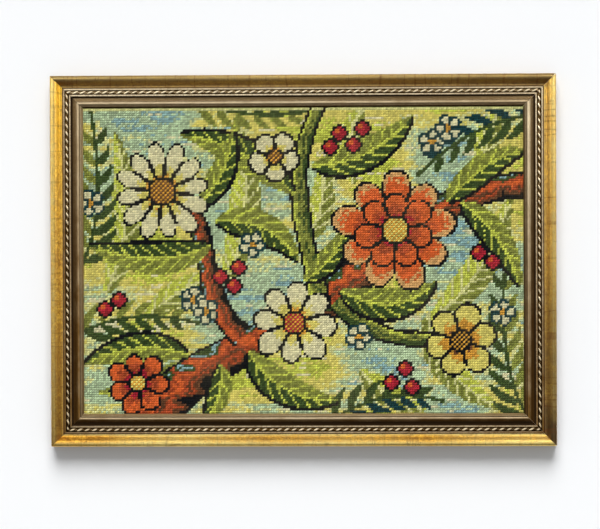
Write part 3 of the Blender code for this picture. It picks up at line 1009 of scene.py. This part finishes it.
GREEN_BARK = ((-0.5, "forest"), (-0.1, "fern"), (0.1, "forest"), (0.6, "fern"), (9, "lime"))
BRANCHES = (
    (((26, -8), (58, 46), (104, 20), (120, 62), (150, 106), (200, 98)), 19, 9, BARK),
    (((70, 34), (46, 52), (62, 84), (38, 98)), 10, 6, BARK),
    (((104, 44), (98, 80), (86, 100), (104, 136)), 8, 5, GREEN_BARK),
    (((110, 50), (130, 28), (156, 34)), 8, 5, GREEN_BARK),
)
NEAR_LEAVES = (
    (((56, 74), (34, 62), (2, 74)), 14),
    (((58, 84), (84, 86), (94, 66)), 14),
    (((112, 54), (136, 40), (154, 58)), 14),
    (((92, 96), (72, 118), (42, 122)), 14),
    (((100, 108), (126, 108), (144, 130)), 14),
    (((46, 26), (26, 34), (0, 22)), 13),
    (((72, 28), (84, 6), (112, 6)), 14),
    (((158, 92), (178, 114), (194, 114)), 12),
    (((164, 92), (184, 78), (190, 54)), 12),
    (((50, 90), (64, 104), (66, 124)), 11),
    (((96, 58), (110, 66), (116, 84)), 10),
    (((60, 22), (62, 8), (52, -4)), 10),
)
CREAM_PETALS = ((0.34, "ochre"), (0.55, "straw"), (9, "cream"))
RED_PETALS = ((0.45, "crimson"), (0.7, "rust"), (9, "orange"))
BLOOMS = (  # centre, radius, petals, bands, turn, notch
    ((136, 80), 27, 9, ((0.45, "brown"), (0.62, "rust"), (0.86, "orange"), (9, "sand")), 0.2, 0.3),
    ((136, 80), 17, 7, RED_PETALS, 0.7, 0.3),
    ((35, 97), 21, 12, CREAM_PETALS, 0.1, 0.35),
    ((92, 40), 18, 8, CREAM_PETALS, 0.5, 0.35),
    ((164, 32), 16, 6, ((0.35, "brown"), (0.6, "ochre"), (9, "straw")), 0.3, 0.3),
    ((24, 14), 13, 7, RED_PETALS, 0.5, 0.3),
    ((84, 112), 11, 5, CREAM_PETALS, 0.9, 0.3),
)
SEEDS = (  # centre, radius, first yarn, second yarn
    ((136, 80), 5.5, "ochre", "straw"),
    ((35, 97), 5.5, "ochre", "brown"),
    ((92, 40), 4.5, "crimson", "ochre"),
    ((164, 32), 4.0, "black", "ochre"),
    ((24, 14), 3.2, "straw", "ochre"),
    ((84, 112), 2.6, "brown", "ochre"),
)
BERRIES = (
    (112, 122), (118, 117), (108, 116), (122, 124), (60, 60), (66, 56), (68, 64), (134, 14),
    (140, 20), (143, 12), (172, 70), (178, 66), (10, 46), (16, 50),
)
BERRY_RADIUS = 2.7
SMALL_FLOWERS = (
    (152, 118), (159, 124), (48, 50), (54, 45), (120, 34), (182, 44), (4, 92), (74, 74),
)
SMALL_FLOWER_RADIUS = 5.2


def paint_chart():
    """A generic spray of flowers and leaves on a streaked ground."""
    chart = np.zeros((ROWS, COLUMNS), np.int16)
    rng = np.random.default_rng(CHART_SEED)
    paint_ground(chart, rng)
    for points, width in FAR_LEAVES:
        leaf(chart, points, width, "lime", "fern", vein="celery", ribs="celery")
    for points, reach, pairs, light, dark in FERNS:
        fern(chart, points, reach, pairs, light, dark, "forest")
    for points, start_width, end_width, bands in BRANCHES:
        branch(chart, rng, points, start_width, end_width, bands, "black")
    for points, width in NEAR_LEAVES:
        leaf(chart, points, width, "fern", "forest", vein="lime", edge="black", ribs="lime")
    for centre, radius, petals, bands, turn, notch in BLOOMS:
        bloom(chart, rng, centre, radius, petals, bands, "black", turn, notch)
    for centre, radius, first, second in SEEDS:
        seeds(chart, centre, radius, first, second, "black")
    for centre in BERRIES:
        berry(chart, centre, BERRY_RADIUS, "crimson", "orange", "black")
    for centre in SMALL_FLOWERS:
        bands = ((0.35, "ochre"), (9, "cream"))
        bloom(chart, rng, centre, SMALL_FLOWER_RADIUS, 5, bands, "teal", 0.3 * centre[0])
    border = chart[-2:]
    border[border != YARN_NAMES.index("black")] = YARN_NAMES.index("celery")
    return chart


# One tuft: tips in the holes, and three arches between them, each from foot over crown to foot.
TUFT_TIP = 1.75 * MM
TUFT_TIP_DEPTH = 0.15 * MM
# Each arch's place along the tuft, half width and height in millimetres, and its angles.
TUFT_ARCHES = ((-1.05, 0.70, 0.90), (0.0, 0.93, 1.40), (1.05, 0.70, 0.90))
TUFT_ARC = (0, 42, 90, 138, 180)
TUFT_HEADING = math.radians(39)  # above the row
HEADING_SPREAD = math.radians(5)
LENGTH_SPREAD, WIDTH_SPREAD, HEIGHT_SPREAD = 0.02, 0.06, 0.08
BAKE_MARGIN = 0.06  # round each stitch's own square of the baked picture


def tuft_template():
    """One tent stitch: points (along, across, height) and their shares, triangles and quads."""
    points = [(-TUFT_TIP, 0.0, -TUFT_TIP_DEPTH)]
    shares = [(0.0, 0.5)]
    for along, half_width, height in TUFT_ARCHES:
        for angle in TUFT_ARC:
            a = math.radians(angle)
            points.append((along * MM, half_width * MM * math.cos(a), height * MM * math.sin(a)))
            shares.append(((along * MM / TUFT_TIP + 1) / 2, angle / 180))
    points.append((TUFT_TIP, 0.0, -TUFT_TIP_DEPTH))
    shares.append((1.0, 0.5))
    arch = len(TUFT_ARC)
    end = len(points) - 1
    triangles, quads = [], []
    for k in range(arch - 1):
        first, last = 1 + k, end - arch + k
        triangles += [(0, first + 1, first), (last, last + 1, end)]
        for start in range(first, last, arch):
            quads.append((start, start + 1, start + 1 + arch, start + arch))
    return [np.array(part) for part in (points, shares, triangles, quads)]


def stitch_places(rng):
    """Each stitch's middle (x, z), with the canvas a little out of square and each one astray."""
    x = (X - COLUMNS / 2) * STITCH
    z = (Y - ROWS / 2) * STITCH + CENTRE_HEIGHT
    (size_x, waves_x, start_x), (size_z, waves_z, start_z) = DRIFTS
    drift_x = size_x * np.sin(Y / ROWS * waves_x + start_x) * np.sin(X / COLUMNS * math.pi)
    drift_z = size_z * np.sin(X / COLUMNS * waves_z + start_z) * np.sin(Y / ROWS * math.pi)
    x = x + drift_x + STRAY * rng.standard_normal(x.shape)
    z = z + drift_z + STRAY * rng.standard_normal(z.shape)
    return x, z


def build_stitches(chart, yarn, places, uneven, material):
    """All the stitches of one yarn, as one mesh."""
    template, shares, triangles, quads = tuft_template()
    where = chart == YARN_NAMES.index(yarn)
    count = int(where.sum())
    x, z = places[0][where], places[1][where]
    slant, plump, width, tone = (values[where] for values in uneven)
    heading = TUFT_HEADING + HEADING_SPREAD * slant
    c, s = np.cos(heading)[:, None], np.sin(heading)[:, None]
    along = template[:, 0] * (1 + LENGTH_SPREAD * slant[:, None])
    across = template[:, 1] * (1 + WIDTH_SPREAD * width[:, None])
    height = template[:, 2] * (1 + HEIGHT_SPREAD * plump[:, None])
    right = x[:, None] + along * c - across * s
    up = z[:, None] + along * s + across * c
    points = np.stack([right, -(CANVAS_FRONT + height), up], axis=-1)
    size = len(template)
    starts = np.arange(count)[:, None, None] * size
    faces = (starts + triangles).reshape(-1, 3).tolist() + (starts + quads).reshape(-1, 4).tolist()
    mesh = bpy.data.meshes.new(f"stitches_{yarn}")
    mesh.from_pydata(points.reshape(-1, 3), [], faces)
    set_values(mesh, "tone", np.repeat(tone, size))
    set_uv(mesh, "yarn", np.tile(shares, (count, 1)))
    grid = math.ceil(math.sqrt(count))
    cell = np.stack([np.arange(count) % grid, np.arange(count) // grid], axis=-1)
    inset = BAKE_MARGIN + (1 - 2 * BAKE_MARGIN) * shares
    set_uv(mesh, "OFBake", ((cell[:, None, :] + inset[None]) / grid).reshape(-1, 2))
    mesh.shade_smooth()
    return new_object(f"stitches_{yarn}", mesh, [material])


def canvas_lines(count):
    """Where the lines between stitches run, and the canvas's edges past a bare margin."""
    margin = ((OUTER_WIDTH - 2 * RAIL_WIDTH + 2 * RABBET_WIDTH - 2 * GAP) - COLUMNS * STITCH) / 2
    lines = (np.arange(count + 1) - count / 2) * STITCH
    return np.concatenate([[lines[0] - margin], lines, [lines[-1] + margin]])


def build_canvas(chart, material):
    """The canvas, with a face for each stitch on both sides and a bare margin."""
    gx, gz = np.meshgrid(canvas_lines(COLUMNS), canvas_lines(ROWS))
    up, across = gx.shape
    size = gx.size
    front = np.stack([gx, np.full_like(gx, -CANVAS_FRONT), gz + CENTRE_HEIGHT], axis=-1)
    back = front.copy()
    back[..., 1] = -CANVAS_BACK
    points = np.concatenate([front.reshape(-1, 3), back.reshape(-1, 3)])
    index = np.arange(size).reshape(up, across)
    quad = np.stack([index[:-1, :-1], index[:-1, 1:], index[1:, 1:], index[1:, :-1]], axis=-1)
    front_faces = quad.reshape(-1, 4)
    back_faces = front_faces[:, ::-1] + size
    loop = np.concatenate([index[0, :-1], index[:-1, -1], index[-1, :0:-1], index[:0:-1, 0]])
    after = np.roll(loop, -1)
    rim = np.stack([loop, loop + size, after + size, after], axis=-1)
    mesh = bpy.data.meshes.new("worked_canvas")
    mesh.from_pydata(points, [], np.concatenate([front_faces, back_faces, rim]).tolist())
    palette = np.array([linear(YARNS[name]) for name in YARN_NAMES])
    tint = np.tile(linear(BARE_CANVAS), (up - 1, across - 1, 1))
    tint[1:-1, 1:-1] = palette[chart]
    worked = np.zeros((up - 1, across - 1))
    worked[1:-1, 1:-1] = 1.0
    tint = tint.reshape(-1, 4)
    tints = np.concatenate([tint * UNDER_SHADE, tint, np.zeros((len(rim), 4))])
    layer = mesh.attributes.new("work", "FLOAT_COLOR", "FACE")
    layer.data.foreach_set("color", tints.astype(np.float32).ravel())
    layer = mesh.attributes.new("worked", "FLOAT", "FACE")
    shares = np.concatenate([worked.ravel(), worked.ravel(), np.zeros(len(rim))])
    layer.data.foreach_set("value", shares.astype(np.float32))
    return new_object("worked_canvas", mesh, [material])


# Camera, fitted to the corners and bands of the frame in the photograph. Pixels are of its 600 x 529.
IMAGE_WIDTH = 600
PIXELS_PER_METRE = 921.7  # at the frame
CAMERA_AZIMUTH = 1.77
CAMERA_ELEVATION = 0.38
CAMERA_ROLL = -0.211
CAMERA_DISTANCE = 3.0
CAMERA_TARGET = (-3.6 * MM, 0.0, CENTRE_HEIGHT - 4.4 * MM)
FOCAL_PIXELS = PIXELS_PER_METRE * CAMERA_DISTANCE
SENSOR_WIDTH = 36.0
NEAREST, FARTHEST = 0.05, 50.0

# Lights: name, kind, energy, place, spread (degrees or metres), and True for one that shows in gloss
# only, or False for one that lights matt surfaces only.
LIGHTS = (
    ("soft_sun", "SUN", 3.52, (0.0, -1.0, 1.11), 37, False),
    ("wool_sun", "SUN", 3.0, (0.0, -1.0, 0.40), 42, False),
    ("sun_gloss", "SUN", 0.35, (0.0, -1.0, 1.0045), 42, True),
    ("front_panel", "AREA", 15.4, (0.0, -2.6, -0.1), 2.2, True),
    ("over", "AREA", 0.9, (0.0, -0.15, 0.60), 0.5, True),
    ("near_left", "AREA", 1.16, (-0.45, -0.30, 0.22), 0.25, True),
    ("near_right", "AREA", 1.73, (0.45, -0.30, 0.22), 0.25, True),
    ("left_panel", "AREA", 3.5, (-1.5, -1.1, 0.3), 1.0, True),
    ("right_panel", "AREA", 2.5, (1.5, -1.1, 0.3), 1.0, True),
    ("left_side", "AREA", 3.5, (-1.6, -0.3, 0.1), 0.9, True),
    ("right_side", "AREA", 4.4, (1.6, -0.3, 0.1), 0.9, True),
    ("below", "AREA", 1.6, (0.0, -1.1, -1.6), 1.0, True),
    ("wall_glow", "AREA", 25.0, (0.0, 0.5, -0.185), 3.0, True),
    ("back_fill", "AREA", 14.0, (0.5, 1.6, 0.4), 1.2, False),
)
WORLD_FILL = 0.36
WORLD_IN_GLOSS = 0.06
WORLD_BEHIND = 0.95
STAGE_REACH = 6.0
FLOOR_HEIGHT = -1.3
WALL_GAP = 0.6 * MM
WALL_PAINT = (0.93, 0.942, 0.955, 1.0)  # linear, as the floor's
FLOOR_PAINT = (0.80, 0.80, 0.79, 1.0)


def add_camera():
    data = bpy.data.cameras.new("camera")
    data.sensor_width = SENSOR_WIDTH
    data.lens = FOCAL_PIXELS / IMAGE_WIDTH * SENSOR_WIDTH
    data.clip_start, data.clip_end = NEAREST, FARTHEST
    camera = bpy.data.objects.new("camera", data)
    a, e = math.radians(CAMERA_AZIMUTH), math.radians(CAMERA_ELEVATION)
    back = Vector((math.sin(a) * math.cos(e), -math.cos(a) * math.cos(e), math.sin(e)))
    aim = (-back).to_track_quat("-Z", "Y")
    roll = Matrix.Rotation(math.radians(CAMERA_ROLL), 4, "Z")
    place = Matrix.Translation(Vector(CAMERA_TARGET) + back * CAMERA_DISTANCE)
    camera.matrix_world = place @ aim.to_matrix().to_4x4() @ roll
    bpy.context.scene.collection.objects.link(camera)
    bpy.context.scene.camera = camera


def add_light(name, kind, energy, place, spread, glossy):
    """A white light that aims at the middle."""
    data = bpy.data.lights.new(name, kind)
    data.energy = energy
    if kind == "SUN":
        data.angle = math.radians(spread)
    else:
        data.size = spread
    light = bpy.data.objects.new(name, data)
    light.location = place
    aim = Vector((0.0, 0.0, CENTRE_HEIGHT)) - Vector(place)
    light.rotation_euler = aim.to_track_quat("-Z", "Y").to_euler()
    light.visible_diffuse = not glossy
    light.visible_glossy = glossy
    bpy.context.scene.collection.objects.link(light)
    return light


def share_suns(lights, cloth):
    """The wool has a sun of its own, which reaches it past the frame's lip."""
    receivers = {name: bpy.data.collections.new(name) for name in ("soft_sun", "wool_sun")}
    for obj in bpy.context.scene.objects:
        if obj.type == "MESH":
            receivers["wool_sun" if obj in cloth else "soft_sun"].objects.link(obj)
    for name, collection in receivers.items():
        lights[name].light_linking.receiver_collection = collection
    lights["wool_sun"].light_linking.blocker_collection = receivers["wool_sun"]


def add_world():
    """A pale studio: it fills matt surfaces, shows faintly in gloss and is white behind."""
    g = Graph(bpy.data.worlds.new("studio"), "Background")
    path = g.node("ShaderNodeLightPath")
    level = WORLD_FILL
    for ray, seen in (("Is Glossy Ray", WORLD_IN_GLOSS), ("Is Camera Ray", WORLD_BEHIND)):
        level = g.node("ShaderNodeMix", {0: path.outputs[ray], 2: level, 3: seen}).outputs[0]
    bpy.context.scene.world = g.set(Strength=level, Color=(1.0, 1.0, 1.0, 1.0))


def plane(name, corners, material):
    """A surface of the stage, which the camera sees and no other ray does."""
    mesh = bpy.data.meshes.new(name)
    mesh.from_pydata(corners, [], [(0, 1, 2, 3)])
    obj = new_object(name, mesh, [material])
    for ray in ("diffuse", "glossy", "transmission", "shadow"):
        setattr(obj, f"visible_{ray}", False)


def add_stage():
    """A white wall that shows from the front only, and a pale floor far below."""
    wall = new_material("wall_paint")
    wall.set(Base_Color=WALL_PAINT, Roughness=0.9, Specular_IOR_Level=0.0)
    clear = wall.node("ShaderNodeBsdfTransparent").outputs[0]
    both = wall.node("ShaderNodeMixShader")
    side = wall.node("ShaderNodeNewGeometry").outputs["Backfacing"]
    for place, value in enumerate((side, wall.shader.outputs[0], clear)):
        wall.feed(both.inputs[place], value)
    wall.feed(wall.tree.nodes["Material Output"].inputs["Surface"], both.outputs[0])
    floor = new_material("floor_paint")
    floor.set(Base_Color=FLOOR_PAINT, Roughness=0.8)
    far, low, gap = STAGE_REACH, FLOOR_HEIGHT, WALL_GAP
    corners = [(-far, gap, low), (far, gap, low), (far, gap, far), (-far, gap, far)]
    plane("wall", corners, wall.owner)
    corners = [(-far, -far, low), (far, -far, low), (far, far, low), (-far, far, low)]
    plane("floor", corners, floor.owner)


def dress_frame():
    """The mouldings with their finishes, and the ropes."""
    finishes = [gold_leaf(), bronze_leaf(), bare_wood()]
    rope = bronze_leaf(
        name="rope_leaf",
        pale=(255, 240, 204),
        deep=(206, 170, 108),
        umbers=((80, 54, 12), (30, 16, 2)),
        metal=0.4,
        clean=0.26,
        coat=0.0,
    )
    for side, quarter_turns, half_length, offset in SIDES:
        rail = build_rail(side, quarter_turns, half_length, offset, finishes)
        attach(rail, "root")
        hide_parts(f"rail_{side}")
        twist = build_rope(side, quarter_turns, half_length, offset, rope)
        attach(twist, "root")
        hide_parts(f"rope_{side}")


def dress_cloth():
    """The tufts, yarn by yarn, and their canvas, stretched in the rabbet. Returns all of them."""
    chart = paint_chart()
    rng = np.random.default_rng(STITCH_SEED)
    places = stitch_places(rng)
    uneven = [rng.standard_normal(chart.shape) for _ in range(3)]
    uneven.append(np.clip(TONE + TONE_SPREAD * rng.standard_normal(chart.shape), 0, 1))
    tufts = []
    for yarn, colour in YARNS.items():
        tuft = build_stitches(chart, yarn, places, uneven, wool(yarn, colour))
        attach(tuft, "root")
        tufts.append(tuft)
    canvas = build_canvas(chart, canvas_cloth())
    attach(canvas, "root")
    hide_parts("tapestry_canvas")
    return [*tufts, canvas]


def main():
    add_camera()
    add_world()
    add_stage()
    lights = {light[0]: add_light(*light) for light in LIGHTS}
    bpy.context.scene.view_settings.view_transform = "Standard"
    dress_frame()
    share_suns(lights, dress_cloth())


main()
